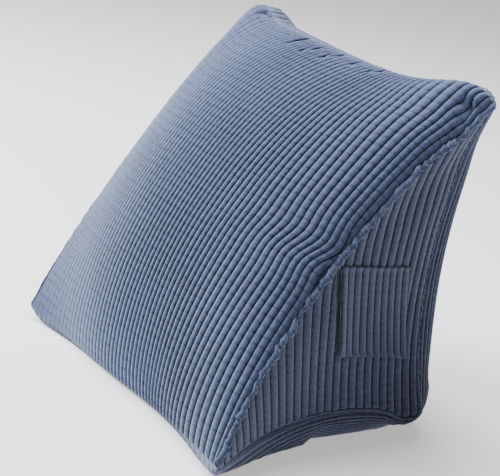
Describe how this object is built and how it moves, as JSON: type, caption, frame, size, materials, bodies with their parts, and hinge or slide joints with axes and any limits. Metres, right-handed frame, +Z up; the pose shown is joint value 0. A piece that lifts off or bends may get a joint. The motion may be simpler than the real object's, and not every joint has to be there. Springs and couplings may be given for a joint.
{
  "type": "backrest pillow",
  "caption": "Stuffed wedge backrest pillow in wide-wale corduroy, with a sloping face to lean on, an upright back and a patch pocket on one side.",
  "frame": {"origin": "middle of the underside, on the surface that the pillow rests on", "axes": "+Z up; the back stands at +Y; the slope that one leans on faces -Y and up; +X is the side with the pocket"},
  "size_m": [0.4532, 0.3486, 0.4263],
  "materials": {
    "corduroy": "slate blue wide-wale corduroy, matt, soft pile on the wales",
    "pocket_corduroy": "the same corduroy, wales upright, hemmed and top-stitched"
  },
  "bodies": {
    "root": {"cushion": "corduroy", "side_pocket": "pocket_corduroy"}
  },
  "joints": []
}
